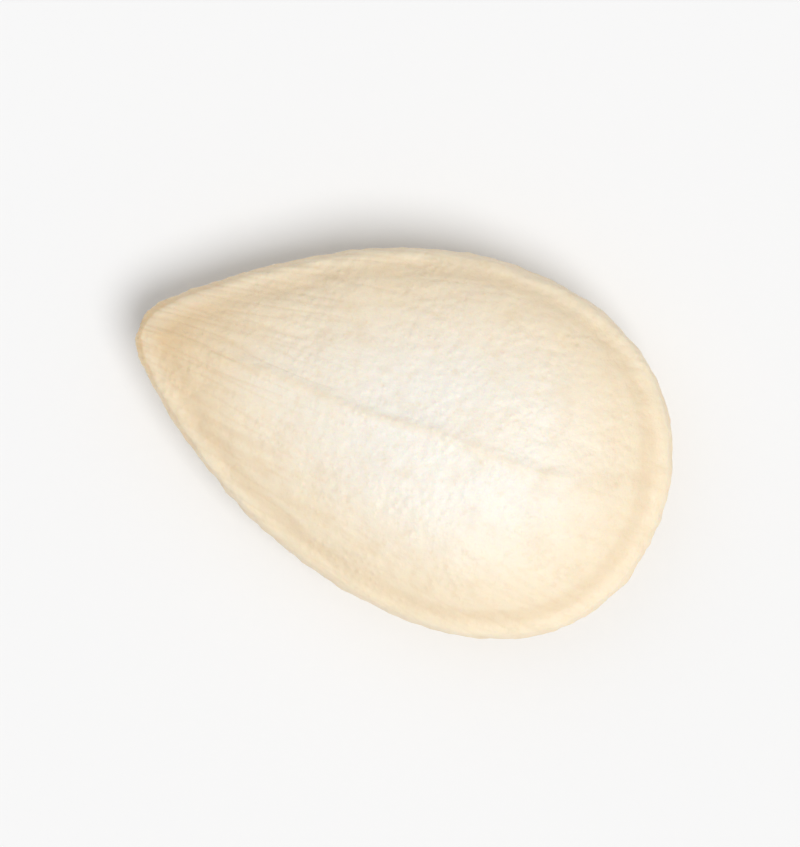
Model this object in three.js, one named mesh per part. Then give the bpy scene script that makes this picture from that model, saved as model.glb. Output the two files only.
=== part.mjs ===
// A sesame seed, lying on the flatter of its two faces.
//
// The seed grew as one piece, so it is one closed solid. Seen from above it is a drop: one round
// end, and one blunt point, where it once hung in its capsule. Each face is a low pillow inside a
// fine raised margin, and between the two margins runs a narrow rounded edge band. A fine line,
// the raphe, runs along the upper face from the scar at the point to a small swelling near the
// round end.
//
// Millimetres. +X points along the seed to its point, +Y across it and +Z up. The origin is on
// the surface that the seed lies on, below the middle of its length and width.

import * as THREE from 'three';
import { mergeVertices } from 'three/addons/utils/BufferGeometryUtils.js';

// Whole seed
const SEED_LENGTH = 3.3;
const SEED_WIDTH = 2.2;
const SEED_THICKNESS = 0.88;
const UPPER_FACE_SHARE = 0.54; // of the thickness, above the middle of the edge band

// Outline, seen from above
const POINT_TAPER = 0.72; // 0 is an ellipse, 1 is a drop with straight sides
const POINT_BLUNTNESS = 0.3; // rounds the end of the point
const POINT_LEAN = -0.09; // how far the point leans to one side
const HEART_SHIFT = -0.3; // the faces are highest this far from the middle of the length
const OUTLINE_WAVES = [ // each swells the outline this many times round it
  { count: 3, share: 0.011, start: 0.7 },
  { count: 5, share: 0.006, start: 2.1 },
];

// Thickness along the seed, as shares of the length and of the full thickness
const THICKEST_AT = 0.36; // from the round end
const ROUND_END_THINNING = 0.2;
const POINT_THINNING = 0.52;

// Section across the seed
const PILLOW_POWER = 2.1; // 2 is an ellipse, more is boxier
const MARGIN_AT = THREE.MathUtils.degToRad(72); // angle down from the crown to a raised margin
const MARGIN_HEIGHT = 0.018;
const MARGIN_SPREAD = 0.085; // radians of the section
const TROUGH_AT = THREE.MathUtils.degToRad(61); // the shallow trough inside the margin
const TROUGH_DEPTH = 0.015;
const TROUGH_SPREAD = 0.14;
const EDGE_WARP = { count: 2, height: 0.03, start: 0.6 }; // the edge is not all in one plane

// Relief of the faces
const RAPHE_HEIGHT = 0.016;
const RAPHE_SPREAD = 0.04;
const CHALAZA_FROM_END = 0.5; // the small swelling where the raphe ends, from the round end
const CHALAZA_HEIGHT = 0.016;
const CHALAZA_RADIUS = 0.13;
const SCAR_DEPTH = 0.03;
const SCAR_HALF_WIDTH = 0.065;
const FACE_WAVES = [ // radians a millimetre along and across the seed
  { along: 2.3, across: 3.1, start: 1.1, height: 0.012 },
  { along: 4.7, across: 5.3, start: 2.2, height: 0.006 },
];
const FACE_FROM_HEIGHT = 0.3; // of the half thickness, below which the edge band is even
const FLAT_SPOT_DEPTH = 0.026; // the lowest part of the lower face that is pressed flat

// Mesh
const STEPS_ALONG_SECTION = 42;
const STEPS_AROUND = 88;
const SECTION_CROWDING = 0.5; // 0 spaces the steps evenly, 1 crowds them all at the edge
const TURN_CROWDING = 0.6; // 0 spaces them evenly, 1 crowds them all at the seed's two ends

const COAT_COLOUR = 0xf2e2c4;
const COAT_ROUGHNESS = 0.55;

const HALF_LENGTH = SEED_LENGTH / 2;
const HALF_WIDTH = SEED_WIDTH / 2;
const HALF_THICKNESS = SEED_THICKNESS / 2;

function bump(distance, spread) {
  return Math.exp(-((distance / spread) ** 2));
}

// How much of the full width the drop still has at an angle, where 0 is the point.
function drop(angle) {
  const towardsRoundEnd = Math.sin(angle / 2) ** 2;
  const blunt = POINT_BLUNTNESS ** 2;
  const taper = ((towardsRoundEnd + blunt) / (1 + blunt)) ** (POINT_TAPER / 2);
  return Math.sin(angle) * taper;
}

// The greatest value of the drop, so that the outline is exactly as wide as the seed.
function broadestDrop() {
  const samples = 720;
  let broadest = 0;
  for (let i = 0; i <= samples; i += 1) {
    broadest = Math.max(broadest, drop((Math.PI * i) / samples));
  }
  return broadest;
}

const BROADEST_DROP = broadestDrop();

// No two sides of a seed are quite alike.
function outlineSwell(angle) {
  const swells = OUTLINE_WAVES.map((wave) => wave.share * Math.sin(wave.count * angle + wave.start));
  return 1 + swells.reduce((sum, swell) => sum + swell, 0);
}

function outlinePoint(angle) {
  const x = HALF_LENGTH * Math.cos(angle);
  const y = (HALF_WIDTH * drop(angle)) / BROADEST_DROP;
  return new THREE.Vector2(x, y).multiplyScalar(outlineSwell(angle));
}

// Distance from the round end, as a share of the length.
function shareOfLength(x) {
  return (x + HALF_LENGTH) / SEED_LENGTH;
}

// How far the edge band rises or sinks at an angle round the seed.
function edgeWarp(angle) {
  return EDGE_WARP.height * Math.sin(EDGE_WARP.count * angle + EDGE_WARP.start);
}

// The seed is thickest near its round end and thins towards both ends.
function thicknessShare(x) {
  const share = shareOfLength(x);
  const toPoint = Math.max(share - THICKEST_AT, 0) / (1 - THICKEST_AT);
  const toRoundEnd = Math.max(THICKEST_AT - share, 0) / THICKEST_AT;
  return 1 - POINT_THINNING * toPoint ** 2 - ROUND_END_THINNING * toRoundEnd ** 2;
}

// What the margins and the troughs inside them add to the plain pillow.
function marginRelief(angle) {
  const fromCrown = Math.min(angle, Math.PI - angle);
  const margin = MARGIN_HEIGHT * bump(fromCrown - MARGIN_AT, MARGIN_SPREAD);
  const trough = TROUGH_DEPTH * bump(fromCrown - TROUGH_AT, TROUGH_SPREAD);
  return margin - trough;
}

// One point of the section, from the middle of the upper face at 0, round the edge, to the
// middle of the lower face at 180 degrees.
function sectionPoint(angle) {
  const power = 2 / PILLOW_POWER;
  const out = Math.sin(angle) ** power;
  const up = Math.sign(Math.cos(angle)) * Math.abs(Math.cos(angle)) ** power;
  const normal = new THREE.Vector2(
    out ** (PILLOW_POWER - 1) / HALF_WIDTH,
    (Math.sign(up) * Math.abs(up) ** (PILLOW_POWER - 1)) / HALF_THICKNESS,
  ).normalize();
  const point = new THREE.Vector2(HALF_WIDTH * out, HALF_THICKNESS * up);
  return point.addScaledVector(normal, marginRelief(angle));
}

// The whole section, scaled so that it reaches exactly the half width.
function sectionProfile() {
  const points = [];
  for (let i = 0; i <= STEPS_ALONG_SECTION; i += 1) {
    const share = i / STEPS_ALONG_SECTION;
    const crowded = (SECTION_CROWDING / 2) * Math.sin(2 * Math.PI * share);
    points.push(sectionPoint(Math.PI * share + crowded));
  }
  const reach = Math.max(...points.map((point) => point.x));
  points.forEach((point) => point.setX((point.x * HALF_WIDTH) / reach));
  points[0].setX(0);
  points[STEPS_ALONG_SECTION].setX(0);
  return points.reverse();
}

// The fine line along the upper face, and the small swelling where it ends.
function rapheRelief(x, y) {
  const chalazaX = CHALAZA_FROM_END - HALF_LENGTH;
  const along = THREE.MathUtils.smoothstep(x, chalazaX, chalazaX + CHALAZA_RADIUS * 2);
  const line = RAPHE_HEIGHT * along * bump(y, RAPHE_SPREAD);
  const swelling = CHALAZA_HEIGHT * bump(Math.hypot(x - chalazaX, y), CHALAZA_RADIUS);
  return line + swelling;
}

// Shallow waves, because no face of a dry seed is quite even.
function unevenRelief(x, y, side) {
  const heights = FACE_WAVES.map((wave) => {
    const along = Math.sin(wave.along * x + wave.start * side);
    const across = Math.cos(wave.across * y - wave.start * side);
    return wave.height * along * across;
  });
  return heights.reduce((sum, height) => sum + height, 0);
}

// The small hollow scar on the very end of the point.
function scarRelief(x, y, z) {
  const onPoint = THREE.MathUtils.smoothstep(x, HALF_LENGTH - SCAR_HALF_WIDTH * 2, HALF_LENGTH);
  return SCAR_DEPTH * onPoint * bump(Math.hypot(y, z), SCAR_HALF_WIDTH);
}

// Moves one point of the round button, which is the section turned about Z, to where it is on
// the seed: the rings are pressed into the drop and the faces get their relief.
function pressIntoSeed(button) {
  const share = Math.hypot(button.x, button.y) / HALF_WIDTH;
  const turn = Math.atan2(button.y, button.x);
  const rim = outlinePoint(turn - (TURN_CROWDING / 2) * Math.sin(2 * turn));
  const x = HEART_SHIFT + share * (rim.x - HEART_SHIFT);
  const y = share * rim.y;
  const side = Math.sign(button.z);
  const faceShare = side > 0 ? UPPER_FACE_SHARE : 1 - UPPER_FACE_SHARE;
  const height = Math.abs(button.z) / HALF_THICKNESS;
  const onFace = THREE.MathUtils.smoothstep(height, FACE_FROM_HEIGHT, 1);
  let z = 2 * faceShare * button.z * thicknessShare(x) + share ** 2 * edgeWarp(turn);
  z += side * onFace * unevenRelief(x, y, side);
  if (side > 0) {
    z += rapheRelief(x, y);
  }
  const lowest = FLAT_SPOT_DEPTH - (1 - UPPER_FACE_SHARE) * SEED_THICKNESS;
  const lean = POINT_LEAN * shareOfLength(x) ** 2;
  return new THREE.Vector3(x - scarRelief(x, y, z), y + lean, Math.max(z, lowest) - lowest);
}

function seedGeometry() {
  const button = new THREE.LatheGeometry(sectionProfile(), STEPS_AROUND);
  button.rotateX(Math.PI / 2);
  button.deleteAttribute('normal');
  button.deleteAttribute('uv');
  const geometry = mergeVertices(button);
  const positions = geometry.attributes.position;
  const point = new THREE.Vector3();
  for (let i = 0; i < positions.count; i += 1) {
    const pressed = pressIntoSeed(point.fromBufferAttribute(positions, i));
    positions.setXYZ(i, pressed.x, pressed.y, pressed.z);
  }
  geometry.computeBoundingBox();
  const middle = geometry.boundingBox.getCenter(new THREE.Vector3());
  geometry.translate(-middle.x, -middle.y, 0);
  geometry.computeVertexNormals();
  return geometry;
}

const coat = new THREE.MeshStandardMaterial({
  color: COAT_COLOUR,
  roughness: COAT_ROUGHNESS,
  metalness: 0,
});

const seed = new THREE.Mesh(seedGeometry(), coat);
seed.name = 'sesame_seed';

const part = new THREE.Group();
part.add(seed);

export default part;
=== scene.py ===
# %% [markdown]
# # One sesame seed, close up
# The subject is a single pale sesame seed, 3.3 mm long, lying flat and seen from straight above.
# The construction model already has its true size and place. It is loaded here as a fixed frame,
# and this script adds what a close-up lens would show: a fine surface, the cream colours of the
# coat, soft light and a camera. Everything is in metres, so a seed is a very small thing here,
# and lengths are written in millimetres times MM.

# %% Load the frame
import math

import bmesh
import bpy
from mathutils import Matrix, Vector, noise


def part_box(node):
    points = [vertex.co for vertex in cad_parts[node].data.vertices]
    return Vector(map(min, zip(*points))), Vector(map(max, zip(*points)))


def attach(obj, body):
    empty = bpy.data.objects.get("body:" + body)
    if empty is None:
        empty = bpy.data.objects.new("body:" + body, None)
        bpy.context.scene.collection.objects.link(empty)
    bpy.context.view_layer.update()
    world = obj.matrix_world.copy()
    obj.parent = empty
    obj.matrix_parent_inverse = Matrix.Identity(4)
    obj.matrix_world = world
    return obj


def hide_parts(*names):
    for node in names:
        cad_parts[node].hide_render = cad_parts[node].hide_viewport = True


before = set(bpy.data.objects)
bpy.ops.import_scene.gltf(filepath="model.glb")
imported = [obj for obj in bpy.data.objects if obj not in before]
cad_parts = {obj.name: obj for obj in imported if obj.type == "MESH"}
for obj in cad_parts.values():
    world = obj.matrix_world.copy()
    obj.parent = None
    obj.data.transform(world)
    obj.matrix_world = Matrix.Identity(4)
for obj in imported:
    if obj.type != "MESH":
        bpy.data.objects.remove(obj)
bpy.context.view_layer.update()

MM = 0.001
NODE = "sesame_seed"
seed_low, seed_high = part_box(NODE)
seed_size = seed_high - seed_low
print("seed in the frame, mm:", [round(side / MM, 3) for side in seed_size])

# %% [markdown]
# # The camera
# The picture was taken from straight above, so the camera looks straight down. A long lens close
# by gives the flat look of a close-up. The seed's point is at +X, and turning the camera about
# the line of sight makes it point to the left and a little up, as in the picture. The camera
# is placed from two things only: the seed's length and the share of the frame that it fills.

# %% Place the camera
IMAGE_WIDTH = 800
IMAGE_HEIGHT = 847
SENSOR = 36 * MM
LENS = 100 * MM
SEED_SHARE_OF_WIDTH = 0.72
POINT_DIRECTION = math.radians(162)  # counter-clockwise from the picture's right
CLIP_RATIO = 50  # how much nearer and farther than the seed is still seen


def make_camera():
    data = bpy.data.cameras.new("overhead_camera")
    data.sensor_width = SENSOR / MM
    data.lens = LENS / MM
    seen_width = seed_size.x / SEED_SHARE_OF_WIDTH
    sensor_across = SENSOR * IMAGE_WIDTH / IMAGE_HEIGHT
    distance = seen_width * LENS / sensor_across
    data.clip_start = distance / CLIP_RATIO
    data.clip_end = distance * CLIP_RATIO
    camera = bpy.data.objects.new("overhead_camera", data)
    middle = (seed_low + seed_high) / 2
    camera.location = (middle.x, middle.y, seed_high.z + distance)
    camera.rotation_euler = (0, 0, -POINT_DIRECTION)
    bpy.context.collection.objects.link(camera)
    bpy.context.scene.camera = camera
    print("camera height over the seed, mm:", round(distance / MM, 2))


make_camera()

# %% [markdown]
# # The section of the seed
# A sesame seed is not a plain lens. Each face is a low pillow with a fine raised margin round
# it, and between the two margins runs a narrow rounded band. One curve across the seed shows all
# of it, from the middle of the upper face, round the edge, to the middle of the lower face. The
# curve could be drawn by hand, but a formula can be sampled as finely as the close-up needs: a
# superellipse, which is a slightly boxy ellipse, pushed out along its own normal at the margins.
# Its nominal sizes are those of the construction model, so the two have the same form. Its
# angles are measured down from the crown, the middle of the upper face.

# %% Draw the section
HALF_WIDTH = 1.1 * MM
HALF_THICKNESS = 0.44 * MM
PILLOW_POWER = 2.1  # 2 is an ellipse, more is boxier
MARGIN_AT = math.radians(72)
MARGIN_HEIGHT = 0.018 * MM
MARGIN_SPREAD = 0.085  # radians of the section
TROUGH_AT = math.radians(61)  # just inside the margin
TROUGH_DEPTH = 0.015 * MM
TROUGH_SPREAD = 0.14


def bump(distance, spread):
    return math.exp(-((distance / spread) ** 2))


def margin_relief(angle):
    from_crown = min(angle, math.pi - angle)
    margin = MARGIN_HEIGHT * bump(from_crown - MARGIN_AT, MARGIN_SPREAD)
    trough = TROUGH_DEPTH * bump(from_crown - TROUGH_AT, TROUGH_SPREAD)
    return margin - trough


def section_point(angle):
    out = math.sin(angle) ** (2 / PILLOW_POWER)
    up = math.copysign(abs(math.cos(angle)) ** (2 / PILLOW_POWER), math.cos(angle))
    normal_out = out ** (PILLOW_POWER - 1) / HALF_WIDTH
    normal_up = math.copysign(abs(up) ** (PILLOW_POWER - 1) / HALF_THICKNESS, up)
    normal = Vector((normal_out, normal_up)).normalized()
    return Vector((HALF_WIDTH * out, HALF_THICKNESS * up)) + normal * margin_relief(angle)


margin_top = section_point(MARGIN_AT)
print("margin, mm out and up:", round(margin_top.x / MM, 3), round(margin_top.y / MM, 3))

# %% [markdown]
# # Turning the section into a button
# Spinning the section about the upright axis makes a round button with the seed's own edge all
# the way round. A Screw modifier would turn it too, but the spin operator gives plain points
# that the next steps can move at once. It leaves one copy of each middle point for every step,
# and merging the doubles closes the two poles. The steps crowd a little towards the edge, where
# the surface bends most.

# %% Spin the button
SECTION_STEPS = 216
TURN_STEPS = 420
SECTION_CROWDING = 0.45  # 0 spaces the steps evenly, 1 crowds them all at the edge
MERGE_DISTANCE = 0.0001 * MM


def section_chain(bm):
    points = []
    for i in range(SECTION_STEPS + 1):
        share = i / SECTION_STEPS
        crowded = SECTION_CROWDING / 2 * math.sin(math.tau * share)
        points.append(section_point(min(math.pi * share + crowded, math.pi)))
    reach = max(point.x for point in points)
    chain = [bm.verts.new((point.x * HALF_WIDTH / reach, 0, point.y)) for point in points]
    chain[0].co.x = 0
    chain[-1].co.x = 0
    return chain


def spin_button():
    bm = bmesh.new()
    chain = section_chain(bm)
    edges = [bm.edges.new(pair) for pair in zip(chain, chain[1:])]
    bmesh.ops.spin(
        bm, geom=chain + edges, cent=(0, 0, 0), axis=(0, 0, 1), dvec=(0, 0, 0),
        angle=math.tau, steps=TURN_STEPS, use_merge=True, use_duplicate=False,
    )
    bmesh.ops.remove_doubles(bm, verts=bm.verts, dist=MERGE_DISTANCE)
    bmesh.ops.recalc_face_normals(bm, faces=bm.faces)
    open_edges = sum(1 for edge in bm.edges if not edge.is_manifold)
    print("button:", len(bm.verts), "points,", open_edges, "open edges")
    return bm


bm = spin_button()

# %% [markdown]
# # Pressing the button into a drop
# Seen from above the seed is a drop: one round end, and one blunt point, where it once hung in
# its capsule. The button has the right section already, so each of its rings only has to be
# moved: its rim goes to the outline of the drop, and the smaller rings shrink towards the
# heart of the seed, which lies nearer the round end. The seed also thins towards both ends, and
# its upper face is domed more than the one that it lies on. Slight waves round the outline and
# up and down the edge keep its two sides from being mirror images. A lattice or a brush could
# press it too. Formulas with the construction model's own numbers make the two agree.

# %% Press the outline
HALF_LENGTH = 1.65 * MM
POINT_TAPER = 0.72  # 0 is an ellipse, 1 is a drop with straight sides
POINT_BLUNTNESS = 0.3  # rounds the end of the point
POINT_LEAN = -0.09 * MM  # how far the point leans to one side
HEART_SHIFT = -0.3 * MM  # the faces are highest this far from the middle of the length
TURN_CROWDING = 0.25  # 0 spaces the steps evenly, 1 crowds them all at the two ends
THICKEST_AT = 0.36  # of the length, from the round end
ROUND_END_THINNING = 0.2
POINT_THINNING = 0.52
UPPER_FACE_SHARE = 0.54  # of the thickness, above the middle of the edge band
OUTLINE_WAVES = (
    {"count": 3, "share": 0.011, "start": 0.7},
    {"count": 5, "share": 0.006, "start": 2.1},
)
EDGE_WARP = {"count": 2, "height": 0.03 * MM, "start": 0.6}  # the edge is not all in one plane
OUTLINE_SAMPLES = 720


def drop(angle):
    towards_round_end = math.sin(angle / 2) ** 2
    blunt = POINT_BLUNTNESS ** 2
    taper = ((towards_round_end + blunt) / (1 + blunt)) ** (POINT_TAPER / 2)
    return math.sin(angle) * taper


BROADEST_DROP = max(drop(math.pi * i / OUTLINE_SAMPLES) for i in range(OUTLINE_SAMPLES))


def outline_swell(angle):
    swell = 1
    for wave in OUTLINE_WAVES:
        swell += wave["share"] * math.sin(wave["count"] * angle + wave["start"])
    return swell


def outline_point(angle):
    rim = Vector((HALF_LENGTH * math.cos(angle), HALF_WIDTH * drop(angle) / BROADEST_DROP))
    return rim * outline_swell(angle)


def edge_warp(angle):
    return EDGE_WARP["height"] * math.sin(EDGE_WARP["count"] * angle + EDGE_WARP["start"])


def share_of_length(x):
    return (x + HALF_LENGTH) / (2 * HALF_LENGTH)


def thickness_share(x):
    share = share_of_length(x)
    to_point = max(share - THICKEST_AT, 0) / (1 - THICKEST_AT)
    to_round_end = max(THICKEST_AT - share, 0) / THICKEST_AT
    return 1 - POINT_THINNING * to_point ** 2 - ROUND_END_THINNING * to_round_end ** 2


def press_outline(point):
    ring = math.hypot(point.x, point.y) / HALF_WIDTH
    turn = math.atan2(point.y, point.x)
    rim = outline_point(turn - TURN_CROWDING / 2 * math.sin(2 * turn))
    x = HEART_SHIFT + ring * (rim.x - HEART_SHIFT)
    face_share = UPPER_FACE_SHARE if point.z > 0 else 1 - UPPER_FACE_SHARE
    z = 2 * face_share * point.z * thickness_share(x) + ring ** 2 * edge_warp(turn)
    return Vector((x, ring * rim.y, z))


outline_length = outline_point(0).x - outline_point(math.pi).x
print("outline from point to round end, mm:", round(outline_length / MM, 3))

# %% [markdown]
# # The raphe, the scar and the uneven faces
# A fine line, the raphe, runs along the upper face and ends in a small swelling, the chalaza.
# A small hollow scar sits on the very end of the point. All three could be carved with a brush,
# but a formula can be used twice. Each gives a share between 0 and 1 at a point: times a depth
# it moves the point, and as it is it says where a colour goes. No dry seed has quite even faces
# either, so a sum of shallow waves is worked out here too, as a height.

# %% Measure the raphe and the scar
RAPHE_HEIGHT = 0.016 * MM
RAPHE_SPREAD = 0.04 * MM
RAPHE_WANDER = 0.03 * MM
RAPHE_BEND_LENGTH = 0.5 * MM
RAPHE_FADE = 0.8
RAPHE_FADE_LENGTH = 0.22 * MM
RAPHE_FADE_ROW = 3  # another row of the noise than the one that bends the raphe
CHALAZA_FROM_END = 0.5 * MM
CHALAZA_X = CHALAZA_FROM_END - HALF_LENGTH
CHALAZA_HEIGHT = 0.016 * MM
CHALAZA_RADIUS = 0.13 * MM
SCAR_DEPTH = 0.03 * MM
SCAR_HALF_WIDTH = 0.065 * MM
FACE_WAVES = (
    {"along": 2.3 / MM, "across": 3.1 / MM, "start": 1.1, "height": 0.012 * MM},
    {"along": 4.7 / MM, "across": 5.3 / MM, "start": 2.2, "height": 0.006 * MM},
)


def smooth_step(value, low, high):
    share = min(max((value - low) / (high - low), 0), 1)
    return share * share * (3 - 2 * share)


def raphe_share(x, y):
    wander = RAPHE_WANDER * noise.noise(Vector((x / RAPHE_BEND_LENGTH, 0, 0)))
    fade = 1 - RAPHE_FADE * abs(noise.noise(Vector((x / RAPHE_FADE_LENGTH, RAPHE_FADE_ROW, 0))))
    along = smooth_step(x, CHALAZA_X, CHALAZA_X + 2 * CHALAZA_RADIUS)
    return along * fade * bump(y - wander, RAPHE_SPREAD)


def chalaza_share(x, y):
    return bump(math.hypot(x - CHALAZA_X, y), CHALAZA_RADIUS)


def scar_share(x, y, z):
    on_point = smooth_step(x, HALF_LENGTH - 2 * SCAR_HALF_WIDTH, HALF_LENGTH)
    return on_point * bump(math.hypot(y, z), SCAR_HALF_WIDTH)


def uneven_relief(x, y, side):
    total = 0
    for wave in FACE_WAVES:
        along = math.sin(wave["along"] * x + wave["start"] * side)
        across = math.cos(wave["across"] * y - wave["start"] * side)
        total += wave["height"] * along * across
    return total


print("raphe height on the middle, mm:", round(RAPHE_HEIGHT * raphe_share(0, 0) / MM, 4))

# %% [markdown]
# # Pressing the seed
# Every point of the button now goes to its place on the seed, and takes with it a set of masks:
# how far out it is, how near a margin or a trough, how much on the edge band, the raphe or the
# scar. They are kept as attributes of the mesh. A colour could be placed by coordinates instead,
# but an attribute follows the shape exactly, also round the edge. The mask of the creases is
# made here too, and is filled when the wrinkles are.

# %% Press the seed
MASKS = ("ring", "margin", "trough", "band", "raphe", "scar", "crease")
FACE_FROM_HEIGHT = 0.3  # of the half thickness, below which the edge band is even
MARGIN_UP = abs(section_point(MARGIN_AT).y) / HALF_THICKNESS
MARGIN_UP_SPREAD = 0.085
TROUGH_UP = abs(section_point(TROUGH_AT).y) / HALF_THICKNESS
TROUGH_UP_SPREAD = 0.09
BAND_UP_SPREAD = 0.22
CHALAZA_TINT = 0.8


def press_seed(bm):
    layers = {name: bm.verts.layers.float.new(name) for name in MASKS}
    for vert in bm.verts:
        button = vert.co.copy()
        side = math.copysign(1, button.z)
        up = abs(button.z) / HALF_THICKNESS
        on_face = smooth_step(up, FACE_FROM_HEIGHT, 1)
        place = press_outline(button)
        place.z += side * on_face * uneven_relief(place.x, place.y, side)
        raphe = raphe_share(place.x, place.y) if side > 0 else 0
        chalaza = chalaza_share(place.x, place.y) if side > 0 else 0
        scar = scar_share(place.x, place.y, place.z)
        place.z += RAPHE_HEIGHT * raphe + CHALAZA_HEIGHT * chalaza
        place.x -= SCAR_DEPTH * scar
        vert.co = place
        vert[layers["ring"]] = min(math.hypot(button.x, button.y) / HALF_WIDTH, 1)
        vert[layers["margin"]] = bump(up - MARGIN_UP, MARGIN_UP_SPREAD)
        vert[layers["trough"]] = bump(up - TROUGH_UP, TROUGH_UP_SPREAD)
        vert[layers["band"]] = bump(up, BAND_UP_SPREAD)
        vert[layers["raphe"]] = max(raphe, CHALAZA_TINT * chalaza)
        vert[layers["scar"]] = scar
    print("pressed", len(bm.verts), "points into the drop")
    return layers


layers = press_seed(bm)

# %% [markdown]
# # The fine surface
# Close up, a dry coat is silky but not smooth. It has shrunk a little over what it covers, so
# it has soft dents and fine wrinkles that run from the point along the seed, and the margins
# are not quite even. Displacement by a texture would do it too, but here the formula decides
# place by place how strong each kind is: the wrinkles are strongest near the point and inside
# the margins, and fade out on the middle of the face.

# %% Shape the wrinkles
DENT_SIZE = 0.42 * MM
DENT_DEPTH = 0.009 * MM
GRAIN_SIZE = 0.1 * MM
GRAIN_DEPTH = 0.0042 * MM
WRINKLE_LENGTH = 0.55 * MM
WRINKLE_WIDTH = 0.085 * MM
WRINKLE_WIDTH_AT_POINT = 0.35  # of the width at the round end
WRINKLE_NARROWNESS = 2  # more makes narrower creases
WRINKLE_DEPTH = 0.0048 * MM
WRINKLED_TO_POINT = (0.35, 0.95)
WRINKLED_TO_MARGIN = (0.45, 0.85)
WRINKLE_STRENGTHS = {"face": 0.15, "point": 0.6, "margin": 0.5}
NOISE_FALLOFF = 1.0  # how quickly each finer layer gets weaker
NOISE_STEP = 2.0  # how much finer each layer is than the one before


def layered_noise(point, size, layer_count):
    return noise.fractal(point / size, NOISE_FALLOFF, NOISE_STEP, layer_count)


def wrinkles(point):
    to_round_end = 1 - share_of_length(point.x)
    width = WRINKLE_WIDTH * (WRINKLE_WIDTH_AT_POINT + (1 - WRINKLE_WIDTH_AT_POINT) * to_round_end)
    place = Vector((point.x / WRINKLE_LENGTH, point.y / width, point.z / DENT_SIZE))
    return max(1 - WRINKLE_NARROWNESS * abs(noise.noise(place)), 0) ** 2


def wrinkle_strength(x, ring):
    near_point = smooth_step(share_of_length(x), *WRINKLED_TO_POINT)
    near_margin = smooth_step(ring, *WRINKLED_TO_MARGIN)
    added = WRINKLE_STRENGTHS["point"] * near_point + WRINKLE_STRENGTHS["margin"] * near_margin
    return min(WRINKLE_STRENGTHS["face"] + added, 1)


print("wrinkle strength on the middle of a face:", round(wrinkle_strength(0, 0), 2))

# %% [markdown]
# # The uneven edge
# The seed shrinks as it dries. Its margins swell and fade as they go round, and the band between
# them is creased across. Both could be sculpted by hand. Noise is quicker, and it stays even all
# the way round: for the creases it is stretched along the height of the band.

# %% Shape the edge
MARGIN_BEAD_SIZE = 0.2 * MM
MARGIN_BEAD_HEIGHT = 0.009 * MM
MARGIN_FADE_LENGTH = 0.75 * MM
MARGIN_FADE_DEPTH = 0.016 * MM
BAND_CREASE_WIDTH = 0.08 * MM
BAND_CREASE_STRETCH = 4  # along the height of the band
BAND_CREASE_DEPTH = 0.0075 * MM
BAND_CREASE_LAYERS = 3


def margin_unevenness(point):
    bead = MARGIN_BEAD_HEIGHT * noise.noise(point / MARGIN_BEAD_SIZE)
    fade = MARGIN_FADE_DEPTH * max(noise.noise(point / MARGIN_FADE_LENGTH), 0)
    return bead - fade


def band_creases(point):
    stretched = Vector((point.x, point.y, point.z / BAND_CREASE_STRETCH))
    return BAND_CREASE_DEPTH * layered_noise(stretched, BAND_CREASE_WIDTH, BAND_CREASE_LAYERS)


round_end = Vector((-HALF_LENGTH, 0, 0))
print("crease at the round end, mm:", round(band_creases(round_end) / MM, 4))

# %% [markdown]
# # Relief along the normal
# The fine relief has to stand at right angles to the surface, also on the steep edge, so it is
# added along each point's own normal, after the coarse shape is there and its normals are
# known. A Displace modifier does the same, but takes one texture for the whole piece. Last of
# all, what would lie lower than the seed's flat spot is pressed level, because the seed rests on
# it, and the point is leaned to its side.

# %% Add the fine relief
FACE_NOISE_LAYERS = 2
FLAT_SPOT_DEPTH = 0.026 * MM  # the lowest part of the lower face that is pressed level


def relief_at(vert, layers):
    place = vert.co
    dents = DENT_DEPTH * layered_noise(place, DENT_SIZE, FACE_NOISE_LAYERS)
    grain = GRAIN_DEPTH * layered_noise(place, GRAIN_SIZE, FACE_NOISE_LAYERS)
    margin = vert[layers["margin"]] * margin_unevenness(place)
    band = vert[layers["band"]] * band_creases(place)
    return dents + grain + margin + band - WRINKLE_DEPTH * vert[layers["crease"]]


def add_relief(bm, layers):
    bm.normal_update()
    moves = []
    for vert in bm.verts:
        strength = wrinkle_strength(vert.co.x, vert[layers["ring"]])
        vert[layers["crease"]] = wrinkles(vert.co) * strength
        moves.append(vert.normal * relief_at(vert, layers))
    for vert, move in zip(bm.verts, moves):
        vert.co += move
    print("largest relief, mm:", round(max(move.length for move in moves) / MM, 4))


def settle(bm):
    lowest = FLAT_SPOT_DEPTH - 2 * (1 - UPPER_FACE_SHARE) * HALF_THICKNESS
    for vert in bm.verts:
        vert.co.z = max(vert.co.z, lowest)
        vert.co.y += POINT_LEAN * share_of_length(vert.co.x) ** 2


add_relief(bm, layers)
settle(bm)

# %% [markdown]
# # Into the frame
# The fine seed has to fill exactly the place of the solid that it stands for. Its own box is
# measured and moved and scaled to the box of the node in the frame, which takes up the few
# microns by which a coarse mesh and a fine one differ. Then it becomes an object that rides on
# the one body and stands for the node.

# %% Fit the seed to its node
def fit_to_node(bm):
    low = Vector([min(vert.co[axis] for vert in bm.verts) for axis in range(3)])
    high = Vector([max(vert.co[axis] for vert in bm.verts) for axis in range(3)])
    size = high - low
    scale = Vector([seed_size[axis] / size[axis] for axis in range(3)])
    bmesh.ops.translate(bm, verts=bm.verts, vec=-low)
    bmesh.ops.scale(bm, verts=bm.verts, vec=scale)
    bmesh.ops.translate(bm, verts=bm.verts, vec=seed_low)
    print("fitted by a scale of", [round(value, 4) for value in scale])


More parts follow.
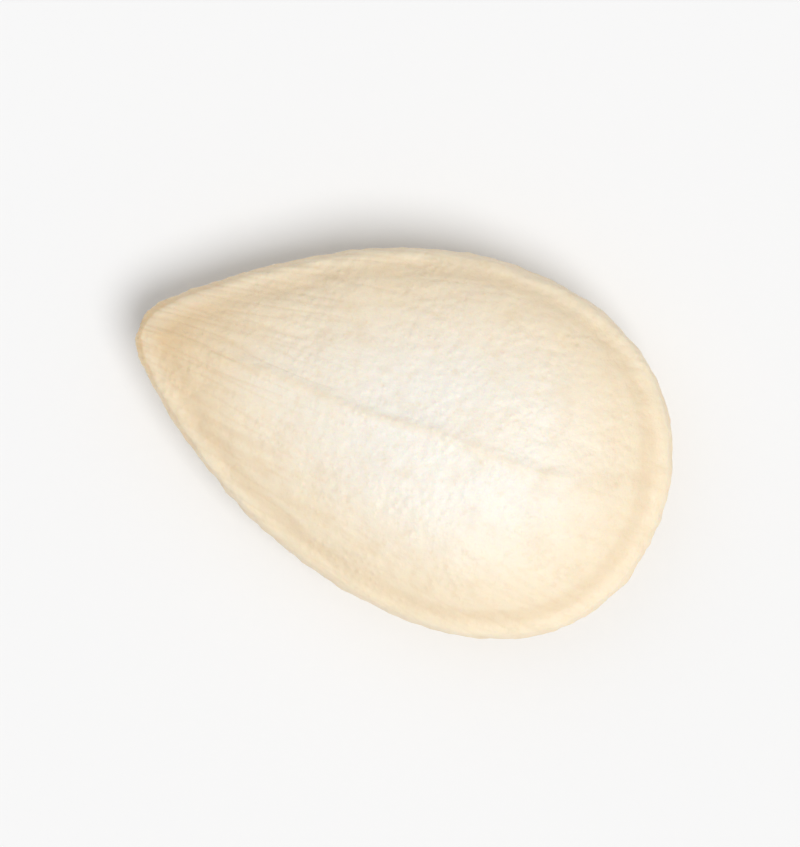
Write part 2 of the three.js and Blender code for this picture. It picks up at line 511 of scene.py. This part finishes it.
def seed_object(bm):
    mesh = bpy.data.meshes.new("sesame_seed_fine")
    bmesh.ops.recalc_face_normals(bm, faces=bm.faces)
    print("volume, cubic mm:", round(bm.calc_volume(signed=True) / MM ** 3, 3))
    for face in bm.faces:
        face.smooth = True
    bm.to_mesh(mesh)
    bm.free()
    seed = bpy.data.objects.new("sesame_seed_fine", mesh)
    bpy.context.collection.objects.link(seed)
    return seed


fit_to_node(bm)
seed = seed_object(bm)
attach(seed, "root")
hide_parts(NODE)
print("fine seed:", len(seed.data.polygons), "faces")

# %% [markdown]
# # Helpers for nodes
# A material is a tree of nodes, and the same few kinds come back in it all the time: a mask from
# an attribute, a mask from noise, a ramp that says where a mask starts and is full, and a mix
# of two colours by a mask. Each gets a short function, so that the material itself reads as a
# list of what lies on what. A Mix node keeps a set of sockets for each kind of value, so the
# ones for colour are found by number.

# %% Make the helpers
MIX_BELOW = 6
MIX_ABOVE = 7
MIX_RESULT = 2
NOISE_ROUGHNESS = 0.55


def add_node(tree, kind, sockets, **settings):
    node = tree.nodes.new(kind)
    for name, value in settings.items():
        setattr(node, name, value)
    for name, value in sockets.items():
        if isinstance(value, bpy.types.NodeSocket):
            tree.links.new(value, node.inputs[name])
        else:
            node.inputs[name].default_value = value
    return node


def attribute(tree, name):
    return add_node(tree, "ShaderNodeAttribute", {}, attribute_name=name).outputs["Fac"]


def ramp(tree, source, start, full, from_value=0.0, to_value=1.0):
    sockets = {"Value": source, "From Min": start, "From Max": full}
    sockets.update({"To Min": from_value, "To Max": to_value})
    node = add_node(tree, "ShaderNodeMapRange", sockets, interpolation_type="SMOOTHSTEP")
    return node.outputs["Result"]


def noise_value(tree, place, per_mm, detail):
    sockets = {"Vector": place, "Scale": per_mm, "Detail": detail, "Roughness": NOISE_ROUGHNESS}
    return add_node(tree, "ShaderNodeTexNoise", sockets).outputs["Fac"]


def noise_mask(tree, place, look):
    source = noise_value(tree, place, look["per_mm"], look["detail"])
    return ramp(tree, source, look["start"], look["full"], look["least"], look["most"])


def multiply(tree, first, second):
    node = add_node(tree, "ShaderNodeMath", {0: first, 1: second}, operation="MULTIPLY")
    return node.outputs[0]


def mix(tree, mask, below, above):
    sockets = {"Factor": mask, MIX_BELOW: below, MIX_ABOVE: above}
    return add_node(tree, "ShaderNodeMix", sockets, data_type="RGBA").outputs[MIX_RESULT]


# %% [markdown]
# # The coat's colours
# A pale sesame coat is ivory in the middle of the face and creamier towards its edge, honey on
# the point and brown only at the scar. Part of the paler middle is a painted highlight, part of
# the darker, warmer edge band is painted shade, and the tan in the troughs and the creases is
# painted shade. A painted image could show that, but it would blur this close. So the colours
# are laid over each other in steps, each with its own mask: first the attributes from the shape,
# then three noises on coordinates that a Mapping node turns from metres into millimetres. Two
# cloud the faces and the edge band, and the smallest specks them.

# %% Mix the coat's colours
# paler and cooler than the coat alone: part of the middle's pallor is a painted highlight, the
# sheen of the face
IVORY_AND_PAINTED_SHEEN = (0.905, 0.86, 0.775, 1)
CREAM = (0.88, 0.745, 0.54, 1)
# the edge band's cream, darker and warmer: partly the band's own tone, partly painted shade on
# the sides that turn away from the light
EDGE_CREAM_AND_PAINTED_SHADE = (0.84, 0.67, 0.45, 1)
MARGIN_CREAM = (0.89, 0.775, 0.59, 1)
HONEY = (0.78, 0.59, 0.35, 1)
# a tan for random mottling, and painted shade in the troughs and in the creases of the wrinkles
MOTTLE_TAN_AND_CREASE_SHADE = (0.70, 0.52, 0.31, 1)
SCAR_BROWN = (0.36, 0.20, 0.09, 1)
# the ramp from ivory to cream: partly the coat's own tone, partly a painted highlight in the
# middle and painted shade at the edge
FACE_TO_EDGE = (0.2, 0.95)  # of the way out, where the cream starts and is full
HONEY_FROM_X = 0.45 * HALF_LENGTH / MM
HONEY_FULL_X = 1.02 * HALF_LENGTH / MM
NOISE_LAYERS = (
    {"per_mm": 1.7, "detail": 4, "start": 0.42, "full": 0.72, "cover": 0.35, "colour": CREAM},
    {"per_mm": 6, "detail": 4, "start": 0.5, "full": 0.75, "cover": 0.2, "colour": MOTTLE_TAN_AND_CREASE_SHADE},
    {"per_mm": 19, "detail": 3, "start": 0.55, "full": 0.78, "cover": 0.26, "colour": HONEY},
)
SHAPE_LAYERS = (
    # painted shade: the hollow trough just inside the margin is darkened with tan
    {"mask": "trough", "start": 0.3, "full": 1.0, "cover": 0.25, "colour": MOTTLE_TAN_AND_CREASE_SHADE},
    # partly painted shade: the edge band is darker and warmer
    {"mask": "band", "start": 0.3, "full": 1.0, "cover": 0.7, "colour": EDGE_CREAM_AND_PAINTED_SHADE},
    {"mask": "margin", "start": 0.3, "full": 1.0, "cover": 0.6, "colour": MARGIN_CREAM},
    # painted shade: the creases of the wrinkles are darkened with tan
    {"mask": "crease", "start": 0.1, "full": 1.0, "cover": 0.2, "colour": MOTTLE_TAN_AND_CREASE_SHADE},
    {"mask": "raphe", "start": 0.2, "full": 1.0, "cover": 0.25, "colour": HONEY},
)
SCAR_EDGE = {"per_mm": 14, "detail": 3, "start": 0.3, "full": 0.7, "least": 0.4, "most": 1}
SCAR_RAMP = (0.2, 0.85)


def coat_place(tree):
    source = add_node(tree, "ShaderNodeTexCoord", {}).outputs["Object"]
    sockets = {"Vector": source, "Scale": (1 / MM, 1 / MM, 1 / MM)}
    return add_node(tree, "ShaderNodeMapping", sockets).outputs["Vector"]


def scar_mask(tree, place):
    ragged = noise_mask(tree, place, SCAR_EDGE)
    return ramp(tree, multiply(tree, attribute(tree, "scar"), ragged), *SCAR_RAMP)


def coat_colour(tree, place):
    split = add_node(tree, "ShaderNodeSeparateXYZ", {"Vector": place})
    # ivory in the middle, cream outwards: partly the coat's own tone, partly painted highlight
    # and painted shade
    colour = mix(tree, ramp(tree, attribute(tree, "ring"), *FACE_TO_EDGE), IVORY_AND_PAINTED_SHEEN, CREAM)
    towards_point = ramp(tree, split.outputs["X"], HONEY_FROM_X, HONEY_FULL_X)
    colour = mix(tree, towards_point, colour, HONEY)
    for layer in SHAPE_LAYERS:
        source = attribute(tree, layer["mask"])
        mask = ramp(tree, source, layer["start"], layer["full"], 0, layer["cover"])
        colour = mix(tree, mask, colour, layer["colour"])
    for layer in NOISE_LAYERS:
        source = noise_value(tree, place, layer["per_mm"], layer["detail"])
        mask = ramp(tree, source, layer["start"], layer["full"], 0, layer["cover"])
        colour = mix(tree, mask, colour, layer["colour"])
    return mix(tree, scar_mask(tree, place), colour, SCAR_BROWN)


print("colour steps by shape:", len(SHAPE_LAYERS), "and by noise:", len(NOISE_LAYERS))

# %% [markdown]
# # The grain of the coat
# The coat is built of tiny cells, a few hundredths of a millimetre across. They are too
# small for the mesh, so they are a bump: soft cell walls from a Voronoi texture and a finer
# noise. The heights are real ones, in metres, so the bump looks the same from any distance. The
# cells stand out more in some patches than in others, which another noise decides.

# %% Grain the coat
CELLS_PER_MM = 24
CELL_HEIGHT = 0.0105 * MM
DUST_PER_MM = 60
DUST_DETAIL = 2
DUST_HEIGHT = 0.003 * MM
PATCH = {"per_mm": 2.6, "detail": 2, "start": 0.35, "full": 0.65, "least": 0.35, "most": 1}


def coat_normal(tree, place):
    sockets = {"Vector": place, "Scale": CELLS_PER_MM}
    cells = add_node(tree, "ShaderNodeTexVoronoi", sockets, feature="SMOOTH_F1")
    height = multiply(tree, cells.outputs["Distance"], noise_mask(tree, place, PATCH))
    sockets = {"Height": height, "Distance": CELL_HEIGHT}
    coarse = add_node(tree, "ShaderNodeBump", sockets, invert=True)
    dust = noise_value(tree, place, DUST_PER_MM, DUST_DETAIL)
    sockets = {"Height": dust, "Distance": DUST_HEIGHT, "Normal": coarse.outputs["Normal"]}
    return add_node(tree, "ShaderNodeBump", sockets).outputs["Normal"]


print("cells across, mm:", round(1 / CELLS_PER_MM, 3))

# %% [markdown]
# # The coat's finish
# The coat is a thin skin over a pale oily body, so a little light goes in and comes out again
# warmer: that is the small subsurface share. A faint second gloss stands for the seed's own oil.
# Both are the same everywhere and are set on the shader's own sockets. Only the roughness
# varies, because the coat is rubbed smoother in some places.

# %% Make the coat
ROUGHNESS = {"per_mm": 6, "detail": 3, "start": 0.3, "full": 0.7, "least": 0.44, "most": 0.6}
COAT_SUBSURFACE = 0.3
COAT_SUBSURFACE_DEPTH = 0.16 * MM
COAT_SUBSURFACE_COLOURS = (1.0, 0.62, 0.34)
OIL_GLOSS = 0.08
OIL_ROUGHNESS = 0.35


def coat_material():
    material = bpy.data.materials.new("pale_seed_coat")
    material.use_nodes = True
    tree = material.node_tree
    shader = tree.nodes["Principled BSDF"]
    place = coat_place(tree)
    tree.links.new(coat_colour(tree, place), shader.inputs["Base Color"])
    tree.links.new(noise_mask(tree, place, ROUGHNESS), shader.inputs["Roughness"])
    tree.links.new(coat_normal(tree, place), shader.inputs["Normal"])
    shader.inputs["Subsurface Weight"].default_value = COAT_SUBSURFACE
    shader.inputs["Subsurface Radius"].default_value = COAT_SUBSURFACE_COLOURS
    shader.inputs["Subsurface Scale"].default_value = COAT_SUBSURFACE_DEPTH
    shader.inputs["Coat Weight"].default_value = OIL_GLOSS
    shader.inputs["Coat Roughness"].default_value = OIL_ROUGHNESS
    print("coat material:", len(tree.nodes), "nodes")
    return material


seed.data.materials.append(coat_material())

# %% [markdown]
# # The floor
# The seed lies on a plain white floor, which only has to take its shadow. It could be a curved
# backdrop, but a flat grid of one face, far wider than any view shows, looks the same from
# every side. Its material is quite matt, so that nothing mirrors in it.

# %% Lay the floor
FLOOR_SIZE = 1.0
FLOOR_WHITE = 0.88


def make_floor():
    floor_mesh = bpy.data.meshes.new("white_floor")
    floor_bm = bmesh.new()
    bmesh.ops.create_grid(floor_bm, x_segments=1, y_segments=1, size=FLOOR_SIZE / 2)
    floor_bm.to_mesh(floor_mesh)
    floor_bm.free()
    floor = bpy.data.objects.new("white_floor", floor_mesh)
    bpy.context.collection.objects.link(floor)
    material = bpy.data.materials.new("white_floor")
    material.use_nodes = True
    shader = material.node_tree.nodes["Principled BSDF"]
    shader.inputs["Base Color"].default_value = (FLOOR_WHITE, FLOOR_WHITE, FLOOR_WHITE, 1)
    shader.inputs["Roughness"].default_value = 1
    shader.inputs["Specular IOR Level"].default_value = 0
    floor_mesh.materials.append(material)
    print("floor:", FLOOR_SIZE, "m wide")


make_floor()

# %% [markdown]
# # Light and background
# The picture is bright and very soft: white ground, faint shadows, light from nearly overhead
# with a little more of it from the lower right. A wide sun for that side, a weak one opposite and
# an even sky give the same, and none of them depends on the size of the scene, as a lamp at some
# distance would. Far away the floor is lit by these alone. That brightness can be worked
# out, so the background that the camera sees gets it too, and floor and background melt into
# one at every height of the camera.

# %% Light the seed
WHITE = (1, 1, 1, 1)
SKY_STRENGTH = 0.5
LIGHT_IN_PICTURE = math.radians(-50)  # from the lower right
KEY_SUN = {"strength": 1.85, "width": math.radians(35), "height": math.radians(61)}
FILL_SUN = {"strength": 0.25, "width": math.radians(60), "height": math.radians(40)}


def make_sun(name, settings, picture_angle):
    data = bpy.data.lights.new(name, "SUN")
    data.energy = settings["strength"]
    data.angle = settings["width"]
    sun = bpy.data.objects.new(name, data)
    turn = picture_angle - POINT_DIRECTION
    towards = Vector((math.cos(turn), math.sin(turn), math.tan(settings["height"])))
    sun.rotation_euler = towards.to_track_quat("Z", "Y").to_euler()
    bpy.context.collection.objects.link(sun)


def light_on_floor(settings):
    return settings["strength"] * math.sin(settings["height"]) / math.pi


def make_sky(floor_brightness):
    world = bpy.data.worlds.new("soft_sky")
    bpy.context.scene.world = world
    world.use_nodes = True
    tree = world.node_tree
    sky = tree.nodes["Background"]
    sky.inputs["Strength"].default_value = SKY_STRENGTH
    sky.inputs["Color"].default_value = WHITE
    seen = add_node(tree, "ShaderNodeBackground", {"Color": WHITE, "Strength": floor_brightness})
    path = add_node(tree, "ShaderNodeLightPath", {})
    sockets = {"Fac": path.outputs["Is Camera Ray"], 1: sky.outputs[0], 2: seen.outputs[0]}
    choice = add_node(tree, "ShaderNodeMixShader", sockets)
    tree.links.new(choice.outputs[0], tree.nodes["World Output"].inputs["Surface"])


make_sun("key_sun", KEY_SUN, LIGHT_IN_PICTURE)
make_sun("fill_sun", FILL_SUN, LIGHT_IN_PICTURE + math.pi)
sun_light = light_on_floor(KEY_SUN) + light_on_floor(FILL_SUN)
floor_brightness = FLOOR_WHITE * (SKY_STRENGTH + sun_light)
make_sky(floor_brightness)
bpy.context.scene.view_settings.view_transform = "Standard"
print("open floor brightness:", round(floor_brightness, 3))
